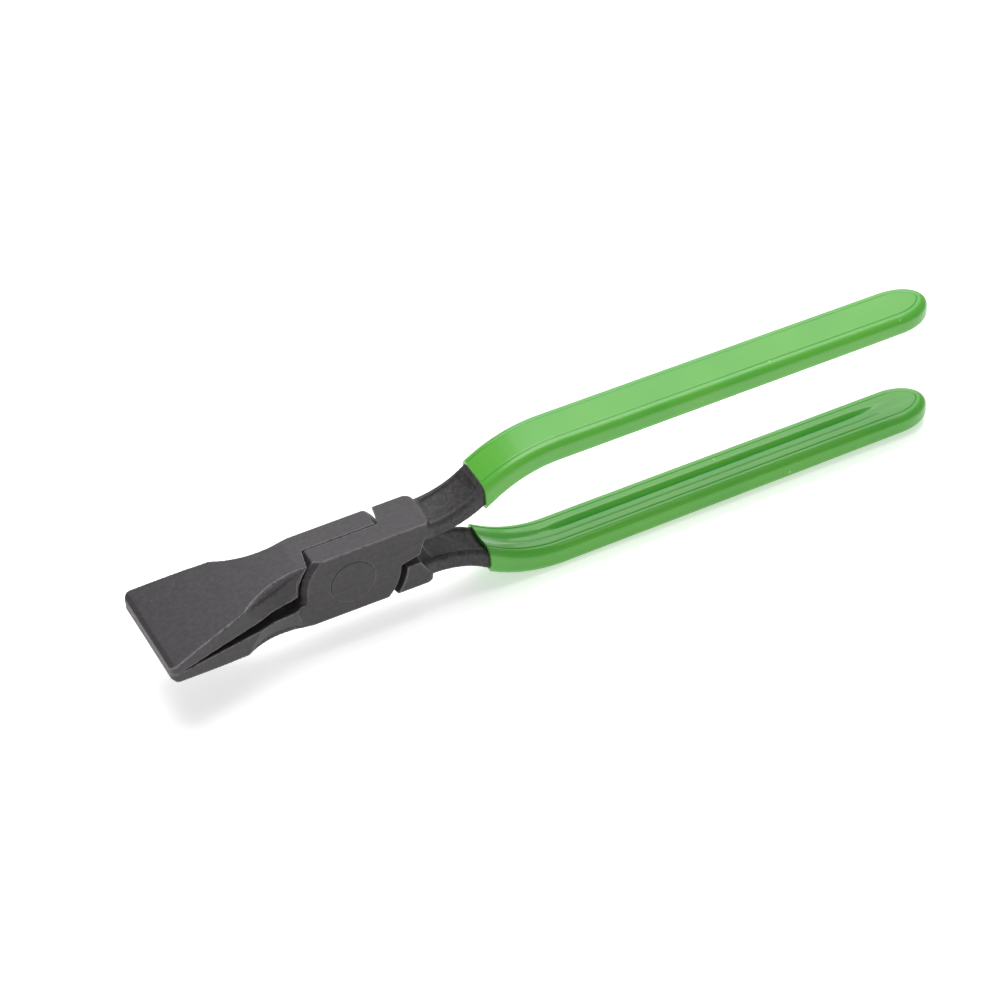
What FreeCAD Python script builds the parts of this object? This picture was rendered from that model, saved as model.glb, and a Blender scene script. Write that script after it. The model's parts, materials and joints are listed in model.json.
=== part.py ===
import FreeCAD, Part
import math
import os
import Sketcher

# Flat-jaw hand pliers with a lap joint, in millimetres.
# Two forged levers cross at one flush rivet, and each handle wears a dipped plastic sleeve.
# Row frame: +X runs from the jaws to the handle ends, +Y runs along the rivet, +Z is up.
# The origin is the middle of the underside of the object's box.

# ---------------------------------------------------------------- driving dimensions

SIZES = [
    ("overall_length", 280.0),     # jaw tip to handle end
    ("jaw_reach", 67.2),           # rivet centre to jaw tip
    ("jaw_width", 40.0),           # across the tip, along the rivet
    ("tip_thickness", 2.1),        # front edge of one jaw
    ("tip_bevel_run", 1.4),        # bevel behind the front edge
    ("tip_bevel_rise", 1.1),
    ("tip_corner", 2.2),           # corners of the jaw seen from above
    ("tip_land", 4.0),             # stretch of the tip where the jaws meet
    ("closed_gap", 0.1),           # left between the closed jaws
    ("throat_gap", 5.6),           # between the jaws at their roots
    ("jaw_back_radius", 420.0),    # slow curve of the jaw's back
    ("jaw_taper_angle", 13.2),     # each side of the jaw, seen from above
    ("jaw_root", 19.5),            # rivet centre to where the taper ends
    ("waist_radius", 30.0),        # round cut that slants down each side of the jaw
    ("waist_place", 22.0),         # rivet centre to the middle of that cut
    ("waist_half_width", 7.2),     # what it leaves at the jaw's back
    ("waist_slant", 17.0),
    ("joint_width", 16.6),         # along the rivet, both cheeks
    ("joint_height", 24.8),
    ("lap_clearance", 0.1),        # between the two cheeks
    ("cheek_radius", 17.4),        # round ends of a cheek
    ("cheek_bevel", 1.7),          # on the cheek's front
    ("cheek_back_bevel", 0.8),
    ("recess_clearance", 0.6),     # cheek to recess at the lap plane
    ("recess_draft", 1.5),         # how much wider the recess is at the outer face
    ("root_fillet", 2.2),          # cheek to the jaw's inner face
    ("tail_step", 0.8),            # slope of the cheek's tail about the rivet's level
    ("seat_gap", 1.8),             # block to the other lever's tail
    ("block_back", 28.2),          # rivet centre to the back of the block
    ("block_corner", 3.0),
    ("block_slant_run", 4.6),      # slanted inner corner of the block
    ("block_slant_rise", 8.0),
    ("edge_round", 0.6),           # broken long edges of the joint
    ("rivet_shank_radius", 5.5),
    ("rivet_head_radius", 7.75),
    ("rivet_head_depth", 3.0),
    ("rivet_rim", 0.25),           # broken rim of a rivet head
    ("rivet_clearance", 0.05),     # radial, in the lever that turns
    ("handle_spread", 52.6),       # over both sleeves where the handles begin
    ("neck_centre", 7.5),          # height of a neck's middle above the rivet centre
    ("core_depth", 6.4),           # handle steel, across the opening
    ("core_width", 15.3),          # handle steel, along the rivet
    ("core_taper", 1.3),           # lost in depth over the straight handle
    ("core_round", 1.8),
    ("lower_bend_radius", 34.0),
    ("upper_bend_radius", 46.0),
    ("trough_width", 11.4),        # forged hollows of the neck
    ("trough_depth", 1.1),
    ("sleeve_wall", 1.2),
    ("sleeve_nose", 1.8),          # plastic beyond the end of the steel
    ("sleeve_start", 47.5),        # rivet centre to the sleeve's mouth
    ("end_side_radius", 14.8),     # handle end seen from above
    ("end_nose_radius", 3.3),
    ("groove_width", 5.6),         # forged channel on the handle's inner face
    ("groove_depth", 1.5),
    ("groove_start", 70.0),
    ("groove_end_margin", 16.0),
]

doc = FreeCAD.newDocument("flat_jaw_pliers")
sheet = doc.addObject("Spreadsheet::Sheet", "sizes")
for row, (alias, value) in enumerate(SIZES, start=1):
    sheet.set("A%d" % row, alias)
    sheet.set("B%d" % row, str(value))
    sheet.setAlias("B%d" % row, alias)
doc.recompute()


class Size:
    """A length that knows its value and the expression that gives it."""

    def __init__(self, value, text):
        self.value = value
        self.text = text

    def __add__(self, other):
        other = size(other)
        return Size(self.value + other.value, "(%s + %s)" % (self.text, other.text))

    def __sub__(self, other):
        other = size(other)
        return Size(self.value - other.value, "(%s - %s)" % (self.text, other.text))

    def __mul__(self, other):
        other = size(other)
        return Size(self.value * other.value, "(%s * %s)" % (self.text, other.text))

    def __truediv__(self, other):
        other = size(other)
        return Size(self.value / other.value, "(%s / %s)" % (self.text, other.text))

    def __neg__(self):
        return Size(-self.value, "(0 - %s)" % self.text)


def size(value):
    return value if isinstance(value, Size) else Size(float(value), repr(float(value)))


def cell(alias):
    return Size(float(sheet.get(alias)), "%s.%s" % (sheet.Name, alias))


def root(value):
    return Size(math.sqrt(value.value), "sqrt(%s)" % value.text)


def sine(angle):
    return Size(math.sin(math.radians(angle.value)), "sin(%s)" % angle.text)


def cosine(angle):
    return Size(math.cos(math.radians(angle.value)), "cos(%s)" % angle.text)


def arc_cosine(value):
    return Size(math.degrees(math.acos(value.value)), "acos(%s)" % value.text)


def tangent(angle):
    return sine(angle) / cosine(angle)


def leg(long_side, short_side):
    """The other short side of a right-angled triangle."""
    return root(long_side * long_side - short_side * short_side)


# ---------------------------------------------------------------- derived sizes

HALF_HEIGHT = cell("joint_height") / 2
HALF_WIDTH = cell("joint_width") / 2
LAP = cell("lap_clearance") / 2
CHEEK = cell("cheek_radius")
ROOT_LEVEL = cell("throat_gap") / 2
TIP = cell("jaw_reach")
END = cell("overall_length") - cell("jaw_reach")
HALF_CORE = cell("core_depth") / 2
HANDLE_CENTRE = cell("handle_spread") / 2 - cell("sleeve_wall") - HALF_CORE
BEND_SUM = cell("lower_bend_radius") + cell("upper_bend_radius")
BEND_COS = size(1) - (HANDLE_CENTRE - cell("neck_centre")) / BEND_SUM
BEND_SIN = root(size(1) - BEND_COS * BEND_COS)
BEND_ANGLE = arc_cosine(BEND_COS)
BEND_START = cell("block_back")
BEND_END = BEND_START + BEND_SUM * BEND_SIN
PIVOT_X = cell("jaw_reach") - cell("overall_length") / 2
PIVOT_Z = cell("handle_spread") / 2

# ---------------------------------------------------------------- sketch and body helpers


def new_body(label):
    body = doc.addObject("PartDesign::Body", label)
    body.Label = label
    return body


def origin_plane(body, role):
    return next(item for item in body.Origin.OriginFeatures if item.Role == role)


def new_sketch(body, name, role="XZ_Plane", offset=None):
    """A sketch on one of the body's own planes, shifted by (along, up, out)."""
    sketch = body.newObject("Sketcher::SketchObject", name)
    sketch.AttachmentSupport = [(origin_plane(body, role), "")]
    sketch.MapMode = "FlatFace"
    if offset:
        for axis, distance in zip("xyz", offset):
            sketch.setExpression(".AttachmentOffset.Base.%s" % axis, size(distance).text)
    return sketch


def bind(sketch, constraint, value):
    """Add a dimension and bind it to its expression."""
    index = sketch.addConstraint(constraint)
    sketch.setExpression("Constraints[%d]" % index, value.text)


def pin(sketch, geometry, place, point):
    """Fix a point's two coordinates."""
    for kind, value in zip(("DistanceX", "DistanceY"), point):
        value = size(value)
        bind(sketch, Sketcher.Constraint(kind, -1, 1, geometry, place, value.value), value)


def arc_through(start, end, radius, turn):
    """The arc from start to end; turn is +1 counter-clockwise and -1 clockwise."""
    a = FreeCAD.Vector(size(start[0]).value, size(start[1]).value, 0)
    b = FreeCAD.Vector(size(end[0]).value, size(end[1]).value, 0)
    chord = b - a
    across = FreeCAD.Vector(-chord.y, chord.x, 0).normalize() * turn
    rise = math.sqrt(radius.value ** 2 - (chord.Length / 2) ** 2)
    centre = (a + b) / 2 + across * rise
    first = math.atan2(a.y - centre.y, a.x - centre.x)
    last = math.atan2(b.y - centre.y, b.x - centre.x)
    circle = Part.Circle(centre, FreeCAD.Vector(0, 0, 1), radius.value)
    if turn > 0:
        return Part.ArcOfCircle(circle, first, last)
    return Part.ArcOfCircle(circle, last, first)


def outline(sketch, corners):
    """A closed outline. A corner is (x, y) before a line, or (x, y, radius, turn) before an arc."""
    count = len(corners)
    ends = []
    for index, corner in enumerate(corners):
        following = corners[(index + 1) % count]
        if len(corner) == 2:
            a = FreeCAD.Vector(size(corner[0]).value, size(corner[1]).value, 0)
            b = FreeCAD.Vector(size(following[0]).value, size(following[1]).value, 0)
            ends.append((sketch.addGeometry(Part.LineSegment(a, b)), 1, 2))
            continue
        radius = size(corner[2])
        turn = corner[3]
        geometry = sketch.addGeometry(arc_through(corner, following, radius, turn))
        ends.append((geometry, 1, 2) if turn > 0 else (geometry, 2, 1))
        bind(sketch, Sketcher.Constraint("Radius", geometry, radius.value), radius)
    for index, (geometry, start, finish) in enumerate(ends):
        after, after_start, _ = ends[(index + 1) % count]
        sketch.addConstraint(Sketcher.Constraint("Coincident", geometry, finish, after, after_start))
        pin(sketch, geometry, start, corners[index][:2])
    return sketch


def pad(body, sketch, length, both_ways=False, reverse=False):
    feature = body.newObject("PartDesign::Pad", sketch.Name + "_pad")
    feature.Profile = sketch
    feature.SideType = "Symmetric" if both_ways else "One side"
    feature.Reversed = reverse
    feature.setExpression("Length", size(length).text)
    return settle(body, feature, adds=True)


def pocket_through(body, sketch):
    feature = body.newObject("PartDesign::Pocket", sketch.Name + "_cut")
    feature.Profile = sketch
    feature.SideType = "Symmetric"
    feature.Type = "ThroughAll"
    return settle(body, feature, adds=False)


def turned(body, sketch, kind, axis, angle=None):
    """A Revolution or a Groove of the sketch about one of its own axes, a full turn unless told."""
    feature = body.newObject("PartDesign::" + kind, sketch.Name + "_turned")
    feature.Profile = sketch
    feature.ReferenceAxis = (sketch, [axis])
    if angle:
        feature.setExpression("Angle", angle.text)
    return settle(body, feature, adds=kind == "Revolution")


def settle(body, feature, adds):
    """Recompute and make sure that the feature really changed the solid."""
    before = body.Shape.Volume if body.Shape.Solids else 0.0
    doc.recompute()
    body.Tip = feature
    doc.recompute()
    change = feature.Shape.Volume - before
    if (change <= 0) == adds:
        raise RuntimeError("%s changes the volume by %.3f" % (feature.Name, change))
    return feature


def dress(body, kind, amount, wanted, name):
    """A Fillet or a Chamfer on the edges of the body that `wanted` picks."""
    base = body.Tip
    names = ["Edge%d" % (n + 1) for n, edge in enumerate(base.Shape.Edges) if wanted(edge)]
    if not names:
        raise RuntimeError("no edges for " + name)
    feature = body.newObject("PartDesign::" + kind, name)
    feature.Base = (base, names)
    feature.setExpression("Radius" if kind == "Fillet" else "Size", size(amount).text)
    doc.recompute()
    body.Tip = feature
    doc.recompute()
    return feature


def middle(edge):
    return edge.valueAt((edge.FirstParameter + edge.LastParameter) / 2)


def near(value, target, slack=0.02):
    return abs(value - target) < slack


# ---------------------------------------------------------------- lever


def jaw_outline(sketch):
    """Side view of a jaw, from its front edge to inside the cheek."""
    closed = cell("closed_gap") / 2
    bevel_x = cell("tip_bevel_run") - TIP
    bevel_z = cell("tip_thickness") + cell("tip_bevel_rise")
    root_x = -(CHEEK + cell("root_fillet") + 1)
    return outline(sketch, [
        (-TIP, closed),
        (cell("tip_land") - TIP, closed),
        (root_x, ROOT_LEVEL),
        (-CHEEK / 2, ROOT_LEVEL),
        (-CHEEK / 2, HALF_HEIGHT),
        (-CHEEK, HALF_HEIGHT, cell("jaw_back_radius"), 1),
        (bevel_x, bevel_z),
        (-TIP, cell("tip_thickness")),
    ])


def cheek_outline(sketch):
    """Side view of the half-thick cheek: two round ends between two flats."""
    fillet = cell("root_fillet")
    reach = CHEEK + fillet
    fillet_x = -leg(reach, ROOT_LEVEL - fillet)
    flat_x = leg(CHEEK, HALF_HEIGHT)
    tail = cell("tail_step")
    tail_x = BEND_START - cell("block_slant_run")
    inside_x = BEND_START - cell("block_slant_run") / 2
    return outline(sketch, [
        (fillet_x, ROOT_LEVEL, fillet, -1),
        (fillet_x * CHEEK / reach, (ROOT_LEVEL - fillet) * CHEEK / reach, CHEEK, 1),
        (-flat_x, -HALF_HEIGHT),
        (inside_x, -HALF_HEIGHT),
        (inside_x, -cell("neck_centre")),
        (tail_x, -tail),
        (leg(CHEEK, tail), tail, CHEEK, 1),
        (flat_x, HALF_HEIGHT),
        (-CHEEK, HALF_HEIGHT),
    ])


def block_outline(sketch):
    """Side view of the full-width block behind the other lever's cheek."""
    seat = cell("tail_step") + cell("seat_gap")
    slant_x = BEND_START - cell("block_slant_run")
    return outline(sketch, [
        (CHEEK / 2, -HALF_HEIGHT),
        (BEND_START, -HALF_HEIGHT),
        (BEND_START, -(seat + cell("block_slant_rise"))),
        (slant_x, -seat),
        (CHEEK / 2, -seat),
    ])


def jaw_side_outline(sketch, side):
    """What is cut away beside the jaw, seen from above; side is +1 or -1."""
    half_jaw = cell("jaw_width") / 2
    corner = cell("tip_corner")
    taper = cell("jaw_taper_angle")
    touch_x = corner * sine(taper) + corner - TIP
    touch_y = half_jaw - corner + corner * cosine(taper)
    root_x = -cell("jaw_root")
    root_y = touch_y - (root_x - touch_x) * tangent(taper)
    clear_x = -TIP - 1
    clear_y = half_jaw + 1
    corners = [
        (clear_x, half_jaw - corner),
        (-TIP, half_jaw - corner, corner, -1),
        (touch_x, touch_y),
        (root_x, root_y),
        (root_x + (root_y - HALF_WIDTH), HALF_WIDTH),
        (size(0), HALF_WIDTH),
        (size(0), clear_y),
        (clear_x, clear_y),
    ]
    if side < 0:
        corners = [(corner[0], -corner[1]) + (() if len(corner) == 2 else (corner[2], -corner[3]))
                   for corner in corners]
    return outline(sketch, corners)


def cut_waist(body, side):
    """A slanted round cut that narrows the back of the jaw and fades out at its inner face."""
    radius = cell("waist_radius")
    slant = cell("waist_slant")
    reach = cell("joint_height")
    cutter = body.newObject("PartDesign::SubtractiveCylinder", "waist_right" if side < 0 else "waist_left")
    cutter.AttachmentSupport = [(origin_plane(body, "XY_Plane"), "")]
    cutter.MapMode = "FlatFace"
    cutter.setExpression("Radius", radius.text)
    cutter.setExpression("Height", (reach * 2).text)
    away = cell("waist_half_width") + radius / cosine(slant) + reach * sine(slant)
    base = (-cell("waist_place"), away * side, HALF_HEIGHT - reach * cosine(slant))
    for axis, distance in zip("xyz", base):
        cutter.setExpression(".AttachmentOffset.Base.%s" % axis, distance.text)
    cutter.setExpression(".AttachmentOffset.Rotation.Axis.x", "1")
    cutter.setExpression(".AttachmentOffset.Rotation.Axis.z", "0")
    cutter.setExpression(".AttachmentOffset.Rotation.Angle", (slant * side).text)
    settle(body, cutter, adds=False)


def handle_outline(sketch, wall, start_x, end_x):
    """Side view of a neck and handle, with `wall` added all round the steel."""
    half = HALF_CORE + wall
    neck = cell("neck_centre")
    lower = cell("lower_bend_radius")
    upper = cell("upper_bend_radius")
    meet_level = neck + lower

    def meeting(radius):
        return BEND_START + radius * BEND_SIN, -(meet_level - radius * BEND_COS)

    corners = [
        (BEND_START, -(neck - half), lower + half, -1),
        meeting(lower + half) + (upper - half, 1),
        (BEND_END, -(HANDLE_CENTRE - half)),
        (end_x, -(HANDLE_CENTRE - half)),
        (end_x, -(HANDLE_CENTRE + half - cell("core_taper"))),
        (BEND_END, -(HANDLE_CENTRE + half), upper + half, -1),
        meeting(lower - half) + (lower - half, 1),
        (BEND_START, -(neck + half)),
    ]
    if start_x is not None:
        corners += [(start_x, -(neck + half)), (start_x, -(neck - half))]
    return outline(sketch, corners)


def handle_end_outline(sketch, wall, end_x):
    """What is cut away round the pointed end of a handle, seen from above."""
    half = cell("core_width") / 2 + wall
    side = cell("end_side_radius") + wall
    nose = cell("end_nose_radius") + wall
    nose_x = end_x - nose
    side_x = nose_x - leg(side - nose, side - half)
    share = nose / (side - nose)
    touch_x = nose_x + (nose_x - side_x) * share
    touch_y = (side - half) * share
    clear = half + 1
    return outline(sketch, [
        (side_x, half, side, -1),
        (touch_x, touch_y, nose, -1),
        (touch_x, -touch_y, side, -1),
        (side_x, -half),
        (side_x, -clear),
        (end_x + 4, -clear),
        (end_x + 4, clear),
        (side_x, clear),
    ])


def shape_handle(body, wall, start_x, end_x):
    """Pad the side view, point the end and round the long edges."""
    width = cell("core_width") + wall * 2
    sketch = handle_outline(new_sketch(body, "handle_side"), wall, start_x, end_x + 3)
    pad(body, sketch, width, both_ways=True)
    cut = handle_end_outline(new_sketch(body, "handle_end", "XY_Plane"), wall, end_x)
    pocket_through(body, cut)
    half = width.value / 2

    def is_long_edge(edge):
        """Edges where a handle's sides and end wall meet its two broad faces."""
        box = edge.BoundBox
        if box.XMax < BEND_START.value + 0.1 or box.ZMax > -1 or box.YLength > 2 * half - 0.1:
            return False
        straight_side = near(box.YMin, -half) or near(box.YMax, half)
        return (straight_side or box.XMin > BEND_END.value) and not is_upright(edge)

    dress(body, "Fillet", cell("core_round") + wall, is_long_edge, "handle_edges")


def handle_channel(body, wall, width, depth):
    """Shallow channel along the face that looks at the other handle."""
    level = HANDLE_CENTRE - HALF_CORE - wall + depth
    sketch = new_sketch(body, "channel", "XY_Plane", (0, 0, -level))
    start = cell("groove_start")
    finish = END - cell("groove_end_margin")
    half = width / 2
    end_radius = width * 0.6
    outline(sketch, [
        (start, -half),
        (finish, -half, end_radius, 1),
        (finish, half),
        (start, half, end_radius, 1),
    ])
    feature = body.newObject("PartDesign::Pocket", "channel_cut")
    feature.Profile = sketch
    feature.Reversed = True
    feature.setExpression("Length", (depth * 3).text)
    settle(body, feature, adds=False)


def rivet_outline(sketch, gap):
    """Half section of the rivet, or of its seat when gap is its clearance."""
    shank = cell("rivet_shank_radius") + gap
    head = cell("rivet_head_radius") + gap
    neck = HALF_WIDTH - cell("rivet_head_depth")
    return outline(sketch, [
        (size(0), -HALF_WIDTH),
        (head, -HALF_WIDTH),
        (shank, -neck),
        (shank, neck),
        (head, HALF_WIDTH),
        (size(0), HALF_WIDTH),
    ])


def make_lever(label, turned_over, rivet_gap):
    """One forged lever: jaw, cheek, block, neck and the steel inside its handle."""
    body = new_body(label)
    cheek = cheek_outline(new_sketch(body, "cheek", offset=(0, 0, -LAP)))
    pad(body, cheek, HALF_WIDTH - LAP, reverse=True)
    dress(body, "Chamfer", cell("cheek_bevel"), is_cheek_front, "cheek_front_bevel")
    dress(body, "Chamfer", cell("cheek_back_bevel"), is_cheek_back, "cheek_back_bevel")
    pad(body, jaw_outline(new_sketch(body, "jaw")), cell("jaw_width"), both_ways=True)
    sides = new_sketch(body, "jaw_sides", "XY_Plane")
    jaw_side_outline(sides, 1)
    jaw_side_outline(sides, -1)
    pocket_through(body, sides)
    pad(body, block_outline(new_sketch(body, "block")), cell("joint_width"), both_ways=True)

    dress(body, "Fillet", cell("block_corner"), is_block_corner, "block_corners")
    cut_waist(body, 1)
    cut_waist(body, -1)

    recess = new_sketch(body, "recess", "XY_Plane")
    inner = CHEEK + cell("recess_clearance")
    outline(recess, [
        (size(0), LAP),
        (size(0), -(HALF_WIDTH + 2)),
        (inner + cell("recess_draft"), -(HALF_WIDTH + 2)),
        (inner, LAP),
    ])
    turned(body, recess, "Groove", "V_Axis")
    seat = rivet_outline(new_sketch(body, "rivet_seat", "XY_Plane"), size(rivet_gap))
    turned(body, seat, "Groove", "V_Axis")
    shape_handle(body, size(0), BEND_START - cell("block_slant_run") - 1, END - cell("sleeve_nose"))
    handle_channel(body, size(0), cell("groove_width"), cell("groove_depth"))
    make_trough(body, "outer_trough", cell("neck_centre") + HALF_CORE, sinks_up=True)
    make_trough(body, "inner_trough", cell("neck_centre") - HALF_CORE, sinks_up=False)
    dress(body, "Fillet", cell("edge_round"), is_rim, "joint_rims")
    body.Placement = lever_place(turned_over)
    return body


def lever_place(turned_over):
    over = FreeCAD.Rotation(FreeCAD.Vector(1, 0, 0), 180 if turned_over else 0)
    return FreeCAD.Placement(FreeCAD.Vector(PIVOT_X.value, 0, PIVOT_Z.value), over)


def is_upright(edge):
    return near(edge.BoundBox.XLength, 0) and near(edge.BoundBox.YLength, 0)


def is_block_corner(edge):
    """The two upright edges at the block's back."""
    point = middle(edge)
    return is_upright(edge) and near(point.x, BEND_START.value) and near(abs(point.y), HALF_WIDTH.value)


def is_cheek_end(edge):
    """The round ends of the cheek on its outer face."""
    flat = near(edge.BoundBox.YLength, 0) and near(middle(edge).y, HALF_WIDTH.value)
    return flat and edge.Curve.TypeId == "Part::GeomCircle" and near(edge.Curve.Radius, CHEEK.value)


def is_cheek_front(edge):
    return is_cheek_end(edge) and middle(edge).x < 0


def is_cheek_back(edge):
    return is_cheek_end(edge) and middle(edge).x > 0


def is_rim(edge):
    """Straight upper and lower edges of the joint's two outer faces."""
    box = edge.BoundBox
    straight = near(box.YLength, 0) and near(box.ZLength, 0) and near(abs(box.YMin), HALF_WIDTH.value)
    return straight and near(abs(box.ZMin), HALF_HEIGHT.value)


def make_trough(body, name, level, sinks_up):
    """Forged hollow that follows the neck's bend; level is the face it sinks into."""
    depth = cell("trough_depth")
    half = cell("trough_width") / 2
    axis_level = cell("neck_centre") + cell("lower_bend_radius")
    radius = (half * half + depth * depth) / (depth * 2)
    sketch = new_sketch(body, name, "YZ_Plane", (0, -axis_level, BEND_START))
    height = axis_level - level
    bulge = -1 if sinks_up else 1
    outline(sketch, [
        (-half, height, radius, bulge),
        (half, height),
        (half, height + bulge),
        (-half, height + bulge),
    ])
    turned(body, sketch, "Groove", "H_Axis", BEND_ANGLE)


def make_sleeve(label, lever, turned_over):
    """Dipped plastic sleeve: its own outside, less the steel that it covers."""
    wall = cell("sleeve_wall")
    body = new_body(label + "_blank")
    shape_handle(body, wall, None, END)
    mouth = new_sketch(body, "mouth")
    deep = HANDLE_CENTRE * 2
    outline(mouth, [
        (BEND_START - 5, size(5)),
        (BEND_START - 5, -deep),
        (cell("sleeve_start"), -deep),
        (cell("sleeve_start"), size(5)),
    ])
    pocket_through(body, mouth)
    handle_channel(body, wall, cell("groove_width") - wall, cell("groove_depth"))
    body.Placement = lever_place(turned_over)
    sleeve = doc.addObject("Part::Cut", label)
    sleeve.Label = label
    sleeve.Base = body
    sleeve.Tool = lever
    doc.recompute()
    return sleeve


def make_rivet(label):
    body = new_body(label)
    sketch = rivet_outline(new_sketch(body, "half_section", "XY_Plane"), size(0))
    turned(body, sketch, "Revolution", "V_Axis")
    dress(body, "Chamfer", cell("rivet_rim"), is_rivet_rim, "rims")
    body.Placement = lever_place(False)
    return body


def is_rivet_rim(edge):
    rim = near(edge.BoundBox.YLength, 0) and near(abs(middle(edge).y), HALF_WIDTH.value)
    return rim and edge.Curve.TypeId == "Part::GeomCircle"


# ---------------------------------------------------------------- the five pieces

upper_jaw = make_lever("lever_upper_jaw", False, 0)
lower_jaw = make_lever("lever_lower_jaw", True, cell("rivet_clearance"))
PIECES = [
    upper_jaw,
    lower_jaw,
    make_rivet("pivot_rivet"),
    make_sleeve("lower_handle_sleeve", upper_jaw, False),
    make_sleeve("upper_handle_sleeve", lower_jaw, True),
]
doc.recompute()

failed = [item.Name for item in doc.Objects if "Invalid" in item.State or "Error" in item.State]
if failed:
    raise RuntimeError("failed features: " + ", ".join(failed))
for piece in PIECES:
    if piece.Shape.isNull() or not piece.Shape.isValid() or len(piece.Shape.Solids) != 1:
        raise RuntimeError("bad shape: " + piece.Label)

os.makedirs("parts", exist_ok=True)
for piece in PIECES:
    piece.Shape.exportStep("parts/%s.step" % piece.Label)
    box = piece.Shape.BoundBox
    print("%-22s %9.1f mm3   x %.2f..%.2f  y %.2f..%.2f  z %.2f..%.2f" % (
        piece.Label, piece.Shape.Volume, box.XMin, box.XMax, box.YMin, box.YMax, box.ZMin, box.ZMax))
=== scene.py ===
# %% [markdown]
# # Flat-jaw pliers
# Two equal forgings cross at one flush rivet, and each handle is dipped in green plastic.
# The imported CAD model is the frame: it says where everything is, and it is never moved here.
# Each later cell makes one piece or one finish and gives it to the frame's bodies.

# %% Load the frame
import json
import math

import bmesh
import bpy
from mathutils import Euler, Matrix, Vector


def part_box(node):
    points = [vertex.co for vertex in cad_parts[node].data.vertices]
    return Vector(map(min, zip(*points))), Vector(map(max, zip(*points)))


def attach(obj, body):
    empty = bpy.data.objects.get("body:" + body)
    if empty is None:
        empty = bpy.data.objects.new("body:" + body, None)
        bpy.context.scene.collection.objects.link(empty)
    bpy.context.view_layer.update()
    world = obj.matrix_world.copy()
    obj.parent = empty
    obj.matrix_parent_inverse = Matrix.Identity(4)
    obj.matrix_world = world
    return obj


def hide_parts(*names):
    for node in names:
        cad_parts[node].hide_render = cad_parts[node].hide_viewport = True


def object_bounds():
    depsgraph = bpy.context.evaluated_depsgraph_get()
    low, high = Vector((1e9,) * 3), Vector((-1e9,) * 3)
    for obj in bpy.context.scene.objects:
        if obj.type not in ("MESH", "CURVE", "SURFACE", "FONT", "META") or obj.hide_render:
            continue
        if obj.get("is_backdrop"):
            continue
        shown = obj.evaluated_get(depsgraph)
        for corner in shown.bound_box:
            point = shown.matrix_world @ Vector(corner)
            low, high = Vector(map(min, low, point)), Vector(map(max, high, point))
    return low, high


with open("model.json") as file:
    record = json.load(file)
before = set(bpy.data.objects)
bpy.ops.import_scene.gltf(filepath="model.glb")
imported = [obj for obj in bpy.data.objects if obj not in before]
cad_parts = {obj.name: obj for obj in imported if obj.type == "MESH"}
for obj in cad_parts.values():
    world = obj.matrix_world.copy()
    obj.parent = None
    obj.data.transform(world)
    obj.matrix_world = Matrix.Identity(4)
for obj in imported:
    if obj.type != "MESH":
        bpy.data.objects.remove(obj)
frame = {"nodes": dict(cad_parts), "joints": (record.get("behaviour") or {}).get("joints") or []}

cad_low, cad_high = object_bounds()
pivot = Vector(frame["joints"][0]["pos_m"])
scene = bpy.context.scene
print("rivet centre", [round(value, 4) for value in pivot])

# %% [markdown]
# ## Helpers
# Most steps pick a few faces or edges by their place and then run one edit-mode operator,
# just as a modeller clicks and presses a key. An operator acts on everything that is selected,
# so each step first clears the selection.

# %% Selection helpers


def work_on(piece):
    """Make a piece the only selected object and the active one."""
    bpy.ops.object.select_all(action="DESELECT")
    piece.select_set(True)
    bpy.context.view_layer.objects.active = piece


def pick(piece, kind, wanted):
    """In edit mode, select the VERT, EDGE or FACE items that pass a test, and count them."""
    bpy.ops.mesh.select_mode(type=kind)
    bpy.ops.mesh.select_all(action="DESELECT")
    mesh = bmesh.from_edit_mesh(piece.data)
    items = {"VERT": mesh.verts, "EDGE": mesh.edges, "FACE": mesh.faces}[kind]
    chosen = [item for item in items if wanted(item)]
    for item in chosen:
        item.select_set(True)
    bmesh.update_edit_mesh(piece.data)
    return len(chosen)


def apply_modifier(piece, kind, **settings):
    """Add one modifier, set it and apply it, so that its result is in the mesh."""
    work_on(piece)
    modifier = piece.modifiers.new(kind.lower(), kind)
    for name, value in settings.items():
        setattr(modifier, name, value)
    bpy.ops.object.modifier_apply(modifier=modifier.name)


def merged_copy(node, name):
    """A copy of a CAD node's mesh with its loose triangles joined."""
    copy = bpy.data.objects.new(name, frame["nodes"][node].data.copy())
    copy.data.materials.clear()
    scene.collection.objects.link(copy)
    work_on(copy)
    bpy.ops.object.mode_set(mode="EDIT")
    bpy.ops.mesh.select_all(action="SELECT")
    bpy.ops.mesh.remove_doubles(threshold=MERGE_DISTANCE)
    bpy.ops.mesh.customdata_custom_splitnormals_clear()
    bpy.ops.object.mode_set(mode="OBJECT")
    return copy


def roughen(piece, name, grain, height, group="", level=0.5):
    """Move the surface by a cloud pattern; level is the pattern's value that stays put."""
    texture = bpy.data.textures.new(name, "CLOUDS")
    texture.noise_scale = grain
    texture.noise_depth = 3
    apply_modifier(piece, "DISPLACE", texture=texture, texture_coords="GLOBAL", mid_level=level,
                   strength=height, vertex_group=group)


def turned_over(piece, name):
    """A copy with its own mesh, turned half round the X axis through the rivet's centre."""
    work_on(piece)
    bpy.ops.object.duplicate()
    copy = bpy.context.object
    copy.name = name
    bpy.ops.transform.rotate(value=math.pi, orient_axis="X", center_override=pivot)
    bpy.ops.object.transform_apply(location=True, rotation=True, scale=True)
    return copy


def say(piece):
    """Print what was made: its size in millimetres and its triangles."""
    piece.data.calc_loop_triangles()
    size = [round(value * 1000, 1) for value in piece.dimensions]
    print(piece.name, size, "mm", len(piece.data.loop_triangles), "triangles")


MERGE_DISTANCE = 2e-6

# %% [markdown]
# ## Camera
# A long lens stands well back, so the pliers keep nearly parallel edges. It looks down on
# them from the jaw side, tilted a few degrees clockwise.

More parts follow.
